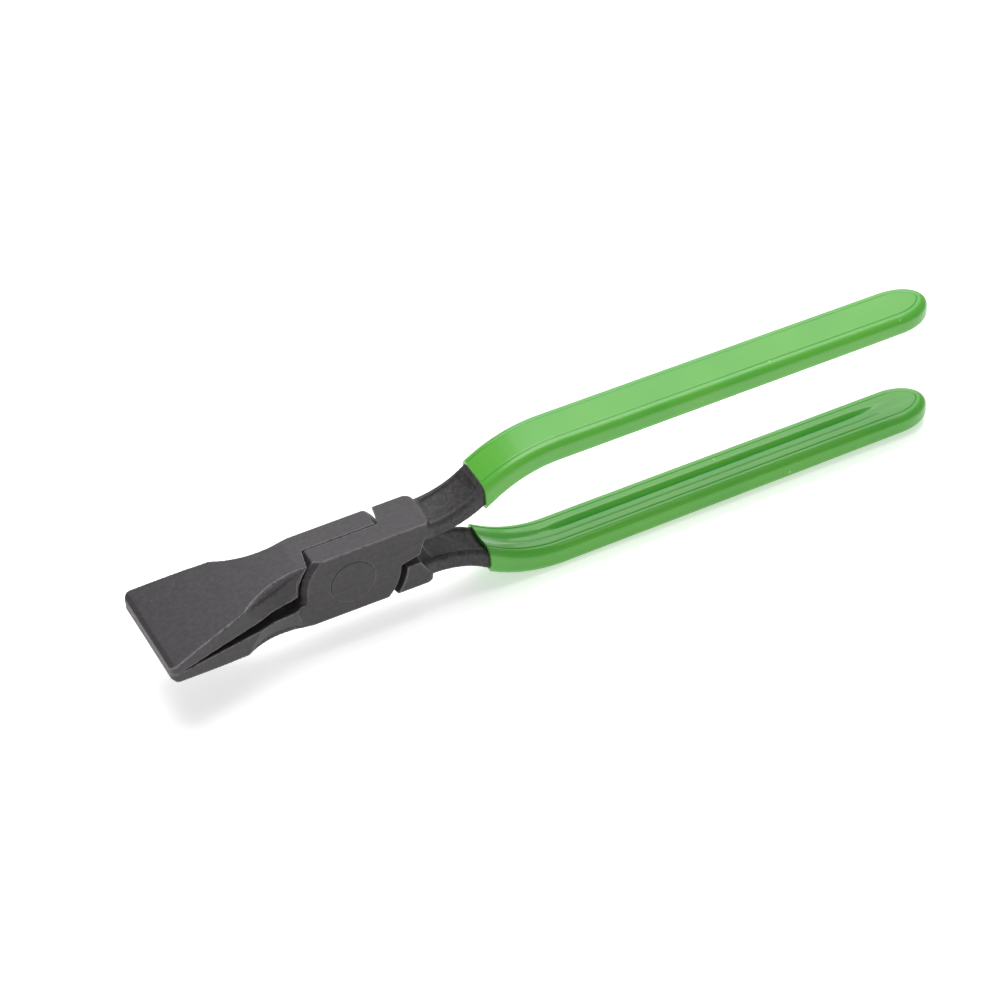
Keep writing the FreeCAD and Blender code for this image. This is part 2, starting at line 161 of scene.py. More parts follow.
# %% Place the camera
AZIMUTH = -23.2
ELEVATION = 41.3
ROLL = -4.5
DISTANCE = 1.355
AIM = Vector((-0.0154, 0.0034, pivot.z))

camera = bpy.data.objects.new("studio_camera", bpy.data.cameras.new("studio_camera"))
scene.collection.objects.link(camera)
turn, lift = math.radians(AZIMUTH), math.radians(ELEVATION)
backwards = Vector((math.sin(turn) * math.cos(lift), -math.cos(turn) * math.cos(lift), math.sin(lift)))
upright = Euler((math.pi / 2 - lift, 0, turn)).to_matrix().to_4x4()
camera.matrix_world = (Matrix.Translation(AIM + backwards * DISTANCE) @ upright
                       @ Matrix.Rotation(math.radians(ROLL), 4, "Z"))
camera.data.lens = 151.7
camera.data.clip_end = 20
scene.camera = camera
print("camera at", [round(value, 3) for value in camera.location])

# %% [markdown]
# ## Floor and light
# A white table lit from within and large soft lights give a clean catalogue look. One wide
# light hangs overhead and one stands behind, so the upward faces carry a milky sheen. The
# sides mirror the bright table, and the rounded edges between them mirror the dimmer room,
# which draws the deep green bands.

# %% Build the floor and the lights
FLOOR_SIDE = 12.0
FLOOR_GLOW = 0.45
WORLD_GLOW = 0.4
scene.view_settings.view_transform = "Standard"


def flat_material(name, color, roughness):
    material = bpy.data.materials.new(name)
    material.use_nodes = True
    shader = material.node_tree.nodes["Principled BSDF"]
    shader.inputs["Base Color"].default_value = (*color, 1)
    shader.inputs["Roughness"].default_value = roughness
    return material


bpy.ops.mesh.primitive_plane_add(size=FLOOR_SIDE, location=(0, 0, cad_low.z))
floor = bpy.context.object
floor.name = "studio_floor"
pale_floor = flat_material("pale_floor", (0.9, 0.9, 0.9), 0.9)
pale_floor.node_tree.nodes["Principled BSDF"].inputs["Emission Color"].default_value = (1, 1, 1, 1)
pale_floor.node_tree.nodes["Principled BSDF"].inputs["Emission Strength"].default_value = FLOOR_GLOW
floor.data.materials.append(pale_floor)
floor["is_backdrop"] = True


def soft_light(name, place, size, power):
    """A square area light aimed at the pliers."""
    lamp = bpy.data.lights.new(name, "AREA")
    lamp.size = size
    lamp.energy = power
    light = bpy.data.objects.new(name, lamp)
    scene.collection.objects.link(light)
    light.location = place
    light.rotation_euler = (Vector(place) - AIM).to_track_quat("Z", "Y").to_euler()


soft_light("overhead_softbox", (0.1, 0.3, 1.6), 1.3, 22)
soft_light("rear_softbox", (0.75, 1.4, 1.25), 1.6, 13)
soft_light("front_fill", (-0.7, -1.6, 0.3), 0.9, 2.5)
soft_light("tip_side_light", (-1.6, 0.1, 0.5), 0.6, 3)

world = bpy.data.worlds.new("studio")
scene.world = world
world.use_nodes = True
air = world.node_tree
room = air.nodes["Background"]
room.inputs["Color"].default_value = (1, 1, 1, 1)
room.inputs["Strength"].default_value = WORLD_GLOW
# Past the floor's edge the camera sees a white backdrop, while the pieces mirror the dimmer room.
backdrop = air.nodes.new("ShaderNodeBackground")
seen = air.nodes.new("ShaderNodeLightPath")
choice = air.nodes.new("ShaderNodeMixShader")
air.links.new(seen.outputs["Is Camera Ray"], choice.inputs[0])
air.links.new(room.outputs[0], choice.inputs[1])
air.links.new(backdrop.outputs[0], choice.inputs[2])
air.links.new(choice.outputs[0], air.nodes["World Output"].inputs["Surface"])

# %% [markdown]
# ## The forging
# Each lever is drop forged in one piece: jaw, half-thick cheek, block, neck and the core of
# the handle. The CAD node has the right shape, but its edges are knife sharp. Bevelling a
# mesh of loose triangles edge by edge is fragile, so a merged copy is wrapped in a fine even
# skin instead (a voxel remesh), and a little smoothing breaks every edge as tumbling does.
# The skin is fine enough to keep the recess crisp, so it is then thinned to a set count.

# %% Wrap the forging in an even skin and break its edges
SKIN = 0.0003
TRIANGLES = 184000

forging = merged_copy("lever_upper_jaw", "upper_jaw_forging")
apply_modifier(forging, "REMESH", mode="VOXEL", voxel_size=SKIN, use_smooth_shade=True)
apply_modifier(forging, "SMOOTH", factor=0.5, iterations=3)
forging.data.calc_loop_triangles()
apply_modifier(forging, "DECIMATE", ratio=TRIANGLES / len(forging.data.loop_triangles))
say(forging)

# %% [markdown]
# ## Forged skin
# The die leaves a flat-bottomed hollow along both faces of each neck, between two ridges.
# The CAD node has it rounder and shallower, so a vertex group picks the strip between the
# ridges and a Displace modifier pushes it in, fading out before the sleeve's mouth.

# %% Deepen the hollows of the necks
NECK_START = pivot.x + 0.0285
NECK_BLEND = 0.0015
mouth_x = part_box("upper_handle_sleeve")[0].x
RIDGE_FOOT = 0.0057         # from the middle plane to where a ridge begins
RIDGE_WALL = 0.0011
HOLLOW_DEPTH = 0.00045
HOLLOW_STARTS = (0.001, 0.003)      # past the neck's start, where it fades in
HOLLOW_STOPS = (0.0025, 0.0008)     # before the sleeve's mouth, where it fades out


def share_of(value, low, high):
    """0 below low, 1 above high and straight in between."""
    return min(max((value - low) / (high - low), 0), 1)


hollow = forging.vertex_groups.new(name="neck_hollow")
for vertex in forging.data.vertices:
    inside = 1 - share_of(abs(vertex.co.y), RIDGE_FOOT - RIDGE_WALL, RIDGE_FOOT)
    along = share_of(vertex.co.x, *(NECK_START + gap for gap in HOLLOW_STARTS))
    along *= 1 - share_of(vertex.co.x, *(mouth_x - gap for gap in HOLLOW_STOPS))
    if inside * along > 0:
        hollow.add([vertex.index], inside * along, "REPLACE")
apply_modifier(forging, "DISPLACE", strength=-HOLLOW_DEPTH, mid_level=0, vertex_group="neck_hollow")
say(forging)

# %% [markdown]
# Just under each long edge of the jaw's back, the die also leaves a narrow rough crescent at
# the waist. It is widest in its middle and runs out to a point at both ends. The same kind of
# group picks it out on the jaw's two side walls, and a shallow push makes the undercut.

# %% Undercut the waist
JAW_CREST = Vector((-0.0174, 0.0124))       # where the jaw's back leaves the cheek
JAW_TOE = Vector((-0.0658, 0.0032))         # where it meets the bevel behind the tip
BACK_BULGE = 0.0007
CRESCENT = (-0.0385, -0.0165)
CRESCENT_TOP = 0.0009                       # below the back's edge
CRESCENT_WIDTH = 0.0026
CRESCENT_DEPTH = 0.0004
CRESCENT_RIM = 0.0003                       # how soon it is deep below its top line
CRESCENT_FADE = 0.0008                      # how slowly it runs out at its bottom line
SIDE_WALL = 0.6                             # least sideways part of a side wall's normal


def back_level(x):
    """Height of the jaw's back over the rivet at x."""
    t = (JAW_CREST.x - x) / (JAW_CREST.x - JAW_TOE.x)
    return JAW_CREST.y + (JAW_TOE.y - JAW_CREST.y) * t + 4 * BACK_BULGE * t * (1 - t)


def crescent_share(vertex):
    """How far inside the crescent a vertex lies, from 0 to 1."""
    x = vertex.co.x - pivot.x
    if not CRESCENT[0] < x < CRESCENT[1] or abs(vertex.normal.y) < SIDE_WALL:
        return 0
    swell = math.sin(math.pi * share_of(x, *CRESCENT))
    below = back_level(x) - (vertex.co.z - pivot.z) - CRESCENT_TOP
    width = CRESCENT_WIDTH * swell
    if not 0 < below < width:
        return 0
    return min(share_of(below, 0, CRESCENT_RIM), share_of(width - below, 0, CRESCENT_FADE))


undercut = forging.vertex_groups.new(name="waist_undercut")
touched = 0
for vertex in forging.data.vertices:
    share = crescent_share(vertex)
    if share > 0:
        undercut.add([vertex.index], share, "REPLACE")
        touched += 1
apply_modifier(forging, "DISPLACE", strength=-CRESCENT_DEPTH, mid_level=0, vertex_group="waist_undercut")
roughen(forging, "undercut_pitting", 0.0008, 0.0003, "waist_undercut")
print("vertices in the crescents", touched)

# %% [markdown]
# The jaws, cheeks and block are ground, but the necks keep the pitted, slightly wavy skin of
# the die. A vertex group says where that skin is, and two Displace modifiers move the mesh
# there: a slow wave first and a fine pitting second.

# %% Roughen the necks

skin = forging.vertex_groups.new(name="forged_skin")
for vertex in forging.data.vertices:
    share = (vertex.co.x - NECK_START) / NECK_BLEND
    if share > 0:
        skin.add([vertex.index], min(share, 1), "REPLACE")

roughen(forging, "die_wave", 0.006, 0.00014, "forged_skin")
roughen(forging, "die_pitting", 0.001, 0.00017, "forged_skin")
say(forging)
lower_forging = turned_over(forging, "lower_jaw_forging")
say(lower_forging)

# %% [markdown]
# ## The rivet
# The rivet is a turned pin whose two heads are upset into countersunk seats and ground flush,
# so only a faint ring shows. A cylinder makes the shank; its two ends are extruded and scaled
# into the heads, and the rims are bevelled by a hair.

# %% Model the rivet
SHANK_RADIUS = 0.0055
HEAD_DEPTH = 0.003
RIM = 0.00012

rivet_low, rivet_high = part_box("pivot_rivet")
head_radius = (rivet_high.x - rivet_low.x) / 2
half_length = rivet_high.y
bpy.ops.object.select_all(action="DESELECT")
bpy.ops.mesh.primitive_cylinder_add(vertices=96, radius=SHANK_RADIUS,
                                    depth=2 * (half_length - HEAD_DEPTH), location=pivot,
                                    rotation=(math.pi / 2, 0, 0))
rivet = bpy.context.object
rivet.name = "flush_rivet"
bpy.ops.object.transform_apply(location=True, rotation=True, scale=True)
bpy.ops.object.mode_set(mode="EDIT")
for side in (-1, 1):
    pick(rivet, "FACE", lambda face: face.normal.y * side > 0.9)
    bpy.ops.mesh.extrude_region_move(TRANSFORM_OT_translate={"value": (0, side * HEAD_DEPTH, 0)})
    grow = head_radius / SHANK_RADIUS
    end = Vector((pivot.x, side * half_length, pivot.z))
    bpy.ops.transform.resize(value=(grow, 1, grow), center_override=end)
    bpy.ops.mesh.inset(thickness=RIM, depth=0)


def is_rim(edge):
    far = [(vertex.co - pivot) for vertex in edge.verts]
    return all(math.hypot(place.x, place.z) > head_radius * 0.999 for place in far)


pick(rivet, "EDGE", is_rim)
bpy.ops.mesh.bevel(offset=RIM / 2, segments=2, affect="EDGES")
bpy.ops.object.mode_set(mode="OBJECT")
bpy.ops.object.shade_smooth_by_angle(angle=math.radians(25))
say(rivet)

# %% [markdown]
# ## The dipped sleeve
# The handle is dipped in liquid plastic and cured, which leaves a skin about 1.2 mm thick.
# It softens the steel's long edges, keeps a faint line round each broad face, and follows
# the forged channel that faces the other handle. It is modelled straight first: a flat
# outline, extruded, bevelled, inset and sliced. A lattice then bends it to the handle, which
# keeps each section upright, as the plane of its mouth is.

# %% Name the sleeve's sizes
FULL_DEPTH = 0.0088         # over the sleeve where it is straight
END_DEPTH = 0.0075          # what the taper leaves at the far end
NECK_LEVEL = 0.0075
LOWER_BEND = 0.034
UPPER_BEND = 0.046
BEND_START = 0.0282
END_LENGTH = 0.0128         # the pointed end, seen from above
EDGE_RADIUS = 0.0029
LINE_WIDTH = 0.00042        # the faint line round a broad face
LINE_DEPTH = 0.0002

end_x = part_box("upper_handle_sleeve")[1].x
half_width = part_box("upper_handle_sleeve")[1].y
outer_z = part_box("upper_handle_sleeve")[1].z
inner_z = outer_z - FULL_DEPTH
centre_level = outer_z - FULL_DEPTH / 2 - pivot.z
bend_cosine = 1 - (centre_level - NECK_LEVEL) / (LOWER_BEND + UPPER_BEND)
bend_sine = math.sqrt(1 - bend_cosine ** 2)
bend_end = BEND_START + (LOWER_BEND + UPPER_BEND) * bend_sine
print("sleeve from", round(mouth_x, 4), "to", round(end_x, 4), "bend ends", round(bend_end, 4))

# %% Draw the outline and extrude it
OVERRUN = 0.006

start_x = mouth_x - OVERRUN
blank_end = end_x - END_LENGTH + half_width
bpy.ops.object.select_all(action="DESELECT")
bpy.ops.mesh.primitive_plane_add(size=1, location=((start_x + blank_end) / 2, 0, inner_z))
sleeve = bpy.context.object
sleeve.name = "upper_handle_dip"
sleeve.scale = (blank_end - start_x, 2 * half_width, 1)
bpy.ops.object.transform_apply(location=True, rotation=True, scale=True)
bpy.ops.object.mode_set(mode="EDIT")
pick(sleeve, "VERT", lambda vertex: vertex.co.x > blank_end - 1e-5)
bpy.ops.mesh.bevel(offset=half_width * 0.999, segments=14, affect="VERTICES")
point_start = blank_end - half_width
pick(sleeve, "VERT", lambda vertex: vertex.co.x > point_start + 1e-5)
bpy.ops.transform.resize(value=(END_LENGTH / half_width, 1, 1), center_override=(point_start, 0, inner_z))
bpy.ops.mesh.select_all(action="SELECT")
bpy.ops.mesh.remove_doubles(threshold=5e-5)
bpy.ops.mesh.extrude_region_move(TRANSFORM_OT_translate={"value": (0, 0, FULL_DEPTH)})
bpy.ops.mesh.select_all(action="SELECT")
bpy.ops.mesh.normals_make_consistent(inside=False)
bpy.ops.object.mode_set(mode="OBJECT")
say(sleeve)

# %% Round its long edges and draw the faint lines
bpy.ops.object.mode_set(mode="EDIT")


def is_long_edge(edge):
    a, b = edge.verts
    level = abs(a.co.z - b.co.z) < 1e-6
    at_mouth = max(a.co.x, b.co.x) < start_x + 1e-5
    return level and not at_mouth


print("long edges", pick(sleeve, "EDGE", is_long_edge))
bpy.ops.mesh.bevel(offset=EDGE_RADIUS, segments=7, affect="EDGES")
for side in (-1, 1):
    pick(sleeve, "FACE", lambda face: face.normal.z * side > 0.999)
    bpy.ops.mesh.inset(thickness=LINE_WIDTH, depth=-LINE_DEPTH)
    bpy.ops.mesh.inset(thickness=LINE_WIDTH, depth=LINE_DEPTH)
    bpy.ops.mesh.inset(thickness=LINE_WIDTH, depth=0)
bpy.ops.object.mode_set(mode="OBJECT")
say(sleeve)

# %% [markdown]
# ## Slices, channel and mouth
# A lattice can only bend what has edges across it, so the bar is sliced crosswise, closely in
# the bend and widely beyond it, and lengthwise where the channel runs. The channel's floor is
# then pushed in slice by slice: shallow at the mouth, deepest along the handle, and fading
# out before the end. The mouth is cut last, so that it is one clean plane.

# %% Slice the bar and push in the channel
BEND_STEP = 0.0015
STRAIGHT_STEP = 0.004
CHANNEL_RIM = 0.0029
CHANNEL_FLOOR = 0.0012
CHANNEL_DEPTH = 0.0013
MOUTH_DEPTH = 0.0005
NECK_DEPTH = 0.0008         # no deeper before the steel has a channel of its own
STEEL_CHANNEL = 0.072       # rivet centre to where it does
CHANNEL_RISE = 0.006
CHANNEL_FADE = 0.012
CHANNEL_MARGIN = 0.0155     # from the sleeve's end to the channel's end


def slice_at(place, normal):
    bpy.ops.mesh.select_all(action="SELECT")
    bpy.ops.mesh.bisect(plane_co=place, plane_no=normal)


def channel_depth(x):
    """How deep the channel is at x."""
    deepens_at = pivot.x + STEEL_CHANNEL
    ramp_in = share_of(x, mouth_x, deepens_at)
    ramp_deep = share_of(x, deepens_at, deepens_at + CHANNEL_RISE)
    ramp_out = 1 - share_of(x, end_x - CHANNEL_MARGIN - CHANNEL_FADE, end_x - CHANNEL_MARGIN)
    depth = MOUTH_DEPTH + (NECK_DEPTH - MOUTH_DEPTH) * ramp_in + (CHANNEL_DEPTH - NECK_DEPTH) * ramp_deep
    return depth * math.sqrt(ramp_out)


stations = []
x = mouth_x + BEND_STEP
while x < end_x - END_LENGTH:
    stations.append(x)
    x += BEND_STEP if x < pivot.x + bend_end + 0.002 else STRAIGHT_STEP
bpy.ops.object.mode_set(mode="EDIT")
for x in stations:
    slice_at((x, 0, 0), (1, 0, 0))
for y in (-CHANNEL_RIM, -CHANNEL_FLOOR, 0, CHANNEL_FLOOR, CHANNEL_RIM):
    slice_at((0, y, 0), (0, 1, 0))


def is_floor(vertex, x):
    here = abs(vertex.co.x - x) < 1e-5 and abs(vertex.co.z - inner_z) < 1e-5
    return here and abs(vertex.co.y) < CHANNEL_FLOOR + 1e-5


for x in [start_x] + stations:
    depth = channel_depth(x)
    if depth > 0 and pick(sleeve, "VERT", lambda vertex: is_floor(vertex, x)):
        bpy.ops.transform.translate(value=(0, 0, depth))
bpy.ops.object.mode_set(mode="OBJECT")
say(sleeve)

# %% Cut the mouth and round its lip
LIP = 0.0003

bpy.ops.object.mode_set(mode="EDIT")
bpy.ops.mesh.select_all(action="SELECT")
bpy.ops.mesh.bisect(plane_co=(mouth_x, 0, 0), plane_no=(1, 0, 0), use_fill=True, clear_inner=True)
print("lip edges", pick(sleeve, "EDGE", lambda edge: max(v.co.x for v in edge.verts) < mouth_x + 1e-6))
bpy.ops.mesh.bevel(offset=LIP, segments=3, affect="EDGES")
bpy.ops.object.mode_set(mode="OBJECT")
say(sleeve)

# %% [markdown]
# ## Bend and taper
# The lattice is a box of control points round the bar. Each cross-section of it is lifted to
# the handle's two arcs and squeezed to the handle's taper, and its middle columns are raised
# a little on the outside, which crowns the broad face.

# %% Bend the sleeve with a lattice
CAGE_STEPS = 64
CAGE_ROWS = 5
FACE_CROWN = 0.00025


def face_level(x, offset):
    """Height over the rivet of a face that lies `offset` outside the handle's middle."""
    across = x - pivot.x
    lower = LOWER_BEND - offset
    upper = UPPER_BEND + offset
    if across < BEND_START + lower * bend_sine:
        return NECK_LEVEL + LOWER_BEND - math.sqrt(lower ** 2 - (across - BEND_START) ** 2)
    if across < bend_end:
        return centre_level - UPPER_BEND + math.sqrt(upper ** 2 - (bend_end - across) ** 2)
    return centre_level + offset


def taper(x):
    """What the outer face has lost at x."""
    straight = end_x - pivot.x - bend_end
    share = max(x - pivot.x - bend_end, 0) / straight
    return (FULL_DEPTH - END_DEPTH) * min(share, 1)


cage_data = bpy.data.lattices.new("bend_cage")
cage_data.points_u, cage_data.points_v, cage_data.points_w = CAGE_STEPS, CAGE_ROWS, 2
for axis in "uvw":
    setattr(cage_data, "interpolation_type_" + axis, "KEY_LINEAR")
cage = bpy.data.objects.new("bend_cage", cage_data)
scene.collection.objects.link(cage)
cage.location = ((mouth_x + end_x) / 2, 0, inner_z + FULL_DEPTH / 2)
corner = max(cage_data.points, key=lambda point: sum(point.co)).co
sides = (end_x - mouth_x, 2 * half_width, FULL_DEPTH)
cage.scale = [side / (2 * reach) for side, reach in zip(sides, corner)]
bpy.context.view_layer.update()
for point in cage_data.points:
    at = cage.matrix_world @ point.co
    share_across = at.y / half_width
    if point.co.z > 0:
        level = face_level(at.x, FULL_DEPTH / 2) - taper(at.x) - FACE_CROWN * share_across ** 2
    else:
        level = face_level(at.x, -FULL_DEPTH / 2)
    at.z = pivot.z + level
    point.co_deform = cage.matrix_world.inverted() @ at
apply_modifier(sleeve, "LATTICE", object=cage)
bpy.data.objects.remove(cage)
say(sleeve)

# %% [markdown]
# ## Thick, slightly wavy plastic
# Cured plastic is never quite flat. One simple subdivision gives it enough points for a slow
# wave of a few hundredths of a millimetre, which breaks up the reflections. The steel, grown
# by a hair, is then taken out of it, so the sleeve is a real shell with a thin dark gap where
# the neck goes in. Weighted normals let the big flats stay flat between their soft edges.

# %% Add the waviness and hollow the sleeve
GAP = 0.00012

apply_modifier(sleeve, "SUBSURF", subdivision_type="SIMPLE", levels=1, render_levels=1)
roughen(sleeve, "dip_wave", 0.014, 0.00009, level=1)
core = merged_copy("lever_lower_jaw", "core_cutter")
apply_modifier(core, "DISPLACE", strength=GAP, mid_level=0)
apply_modifier(sleeve, "BOOLEAN", operation="DIFFERENCE", solver="EXACT", object=core)
bpy.data.objects.remove(core)
work_on(sleeve)
bpy.ops.object.shade_smooth_by_angle(angle=math.radians(40))
apply_modifier(sleeve, "WEIGHTED_NORMAL", keep_sharp=True)
say(sleeve)
lower_sleeve = turned_over(sleeve, "lower_handle_dip")
say(lower_sleeve)

# %% [markdown]
# ## Shared effects
# Worn edges on the steel and painted crease shade on the dip come from one edge group. It, die grain,
# grinding streaks and dust each appear in more than one finish, so each is a node group with its own
# inputs. A group puts out masks and heights only; the shader stays in the material.

# %% Make the effect groups


def new_group(name, inputs, outputs):
    """An empty shader group; inputs are (name, value) pairs and outputs are names."""
    group = bpy.data.node_groups.new(name, "ShaderNodeTree")
    for label, value in inputs:
        socket = group.interface.new_socket(label, in_out="INPUT", socket_type="NodeSocketFloat")
        socket.default_value = value
    for label in outputs:
        group.interface.new_socket(label, in_out="OUTPUT", socket_type="NodeSocketFloat")
    return group, group.nodes.new("NodeGroupInput"), group.nodes.new("NodeGroupOutput")


def node(tree, kind, **settings):
    """Add a node; settings name either its properties or its input sockets' values."""
    made = tree.nodes.new("ShaderNode" + kind)
    for name, value in settings.items():
        if hasattr(made, name):
            setattr(made, name, value)
        else:
            made.inputs[name.replace("_", " ")].default_value = value
    return made


def link(tree, *pairs):
    for source, target in pairs:
        tree.links.new(source, target)


def ramp(tree, low, high):
    """A smooth step from low to high."""
    made = node(tree, "MapRange", interpolation_type="SMOOTHSTEP")
    made.inputs["From Min"].default_value = low
    made.inputs["From Max"].default_value = high
    return made


def make_edge_wear_and_crease_shade():
    """Where the surface turns sharply: outwards if Low is under High, inwards if it is over.
    Step is the whole line, and Mask is the same line broken up by a fine noise."""
    # The steel uses the outward Mask as rubbed wear; the dip uses the inward Step as painted crease
    # shade.
    given_values = [("Low", 0.52), ("High", 0.6), ("Breakup", 900)]
    tree, given, out = new_group("edge_wear_and_crease_shade", given_values, ["Mask", "Step"])
    shape = node(tree, "NewGeometry")
    place = node(tree, "TexCoord")
    patches = node(tree, "TexNoise", Detail=3)
    step = ramp(tree, 0.5, 0.6)
    broken = ramp(tree, 0.2, 0.6)
    both = node(tree, "Math", operation="MULTIPLY")
    link(tree, (shape.outputs["Pointiness"], step.inputs["Value"]),
         (given.outputs["Low"], step.inputs["From Min"]),
         (given.outputs["High"], step.inputs["From Max"]),
         (place.outputs["Object"], patches.inputs["Vector"]),
         (given.outputs["Breakup"], patches.inputs["Scale"]),
         (patches.outputs["Fac"], broken.inputs["Value"]),
         (step.outputs["Result"], both.inputs[0]),
         (broken.outputs["Result"], both.inputs[1]),
         (both.outputs[0], out.inputs["Mask"]),
         (step.outputs["Result"], out.inputs["Step"]))
    return tree


def make_die_grain():
    """Mottled scale and small pits, as a forging keeps them."""
    tree, given, out = new_group("die_grain", [("Scale", 500), ("Pit Depth", 0.5)], ["Mottle", "Height"])
    place = node(tree, "TexCoord")
    mottle = node(tree, "TexNoise", Detail=5, Roughness=0.65)
    pits = node(tree, "TexVoronoi", feature="SMOOTH_F1")
    pit_step = ramp(tree, 0.05, 0.4)
    deep = node(tree, "Math", operation="MULTIPLY")
    total = node(tree, "Math", operation="ADD")
    link(tree, (place.outputs["Object"], mottle.inputs["Vector"]),
         (place.outputs["Object"], pits.inputs["Vector"]),
         (given.outputs["Scale"], mottle.inputs["Scale"]),
         (given.outputs["Scale"], pits.inputs["Scale"]),
         (pits.outputs["Distance"], pit_step.inputs["Value"]),
         (pit_step.outputs["Result"], deep.inputs[0]),
         (given.outputs["Pit Depth"], deep.inputs[1]),
         (mottle.outputs["Fac"], total.inputs[0]),
         (deep.outputs[0], total.inputs[1]),
         (mottle.outputs["Fac"], out.inputs["Mottle"]),
         (total.outputs[0], out.inputs["Height"]))
    return tree


def make_streaks():
    """Fine lines along the piece, from grinding or from the draining dip."""
    tree, given, out = new_group("long_streaks", [("Fineness", 2500), ("Stretch", 0.03)], ["Streak"])
    place = node(tree, "TexCoord")
    squeeze = node(tree, "CombineXYZ", Y=1, Z=1)
    along = node(tree, "VectorMath", operation="MULTIPLY")
    lines = node(tree, "TexNoise", Detail=2, Roughness=0.5)
    link(tree, (given.outputs["Stretch"], squeeze.inputs["X"]),
         (place.outputs["Object"], along.inputs[0]),
         (squeeze.outputs["Vector"], along.inputs[1]),
         (along.outputs["Vector"], lines.inputs["Vector"]),
         (given.outputs["Fineness"], lines.inputs["Scale"]),
         (lines.outputs["Fac"], out.inputs["Streak"]))
    return tree


def make_dust():
    """Sparse small specks."""
    tree, given, out = new_group("dust_specks", [("Scale", 260), ("Size", 0.07)], ["Mask"])
    place = node(tree, "TexCoord")
    cells = node(tree, "TexVoronoi", feature="F1")
    inside = node(tree, "Math", operation="LESS_THAN")
    rare = node(tree, "Math", operation="GREATER_THAN")
    rare.inputs[1].default_value = 0.93
    both = node(tree, "Math", operation="MULTIPLY")
    split = node(tree, "SeparateColor")
    link(tree, (place.outputs["Object"], cells.inputs["Vector"]),
         (given.outputs["Scale"], cells.inputs["Scale"]),
         (cells.outputs["Distance"], inside.inputs[0]),
         (given.outputs["Size"], inside.inputs[1]),
         (cells.outputs["Color"], split.inputs["Color"]),
         (split.outputs["Red"], rare.inputs[0]),
         (inside.outputs[0], both.inputs[0]),
         (rare.outputs[0], both.inputs[1]),
         (both.outputs[0], out.inputs["Mask"]))
    return tree


effects = {tree.name: tree for tree in (make_edge_wear_and_crease_shade(), make_die_grain(), make_streaks(), make_dust())}
print("effect groups", sorted(effects))

# %% [markdown]
# ## Finishes
# The steel has a thin black-grey oxide. On ground faces it is even, with faint lines along
# the jaws; on the necks it is mottled and rougher, and on every edge it is rubbed lighter.
# The green dip is a glossy plastic: saturated in the shade and milky where it mirrors the
# big overhead light. Its creases and grooves get a painted shade, a darker green in the colour.

# %% Write the material helpers


def effect(tree, name, **values):
    """Place an effect group and set its inputs."""
    made = tree.nodes.new("ShaderNodeGroup")
    made.node_tree = effects[name]
    for label, value in values.items():
        made.inputs[label.replace("_", " ")].default_value = value
    return made


def blend(tree, mask, first, second):
    """Mix two colours, or a colour and a colour socket, by a mask socket."""
    made = node(tree, "Mix", data_type="RGBA")
    tree.links.new(mask, made.inputs["Factor"])
    for socket, value in ((made.inputs[6], first), (made.inputs[7], second)):
        if isinstance(value, tuple):
            socket.default_value = (*value, 1)
        else:
            tree.links.new(value, socket)
    return made.outputs[2]


def scaled(tree, value, factor, offset=0):
    """value * factor + offset."""
    made = node(tree, "Math", operation="MULTIPLY_ADD")
    tree.links.new(value, made.inputs[0])
    made.inputs[1].default_value = factor
    made.inputs[2].default_value = offset
    return made.outputs[0]


def times(tree, first, second):
    made = node(tree, "Math", operation="MULTIPLY")
    link(tree, (first, made.inputs[0]), (second, made.inputs[1]))
    return made.outputs[0]


def plus(tree, first, second):
    made = node(tree, "Math", operation="ADD")
    link(tree, (first, made.inputs[0]), (second, made.inputs[1]))
    return made.outputs[0]


def bump(tree, height, distance):
    made = node(tree, "Bump", Distance=distance, Strength=1.0)
    tree.links.new(height, made.inputs["Height"])
    return made.outputs["Normal"]


# %% Make the oxide steel
OXIDE = (0.043, 0.0388, 0.0425)
OXIDE_DARK = (0.029, 0.0262, 0.0288)
RUBBED = (0.19, 0.18, 0.186)
SCALE_DARK = (0.020, 0.0182, 0.019)


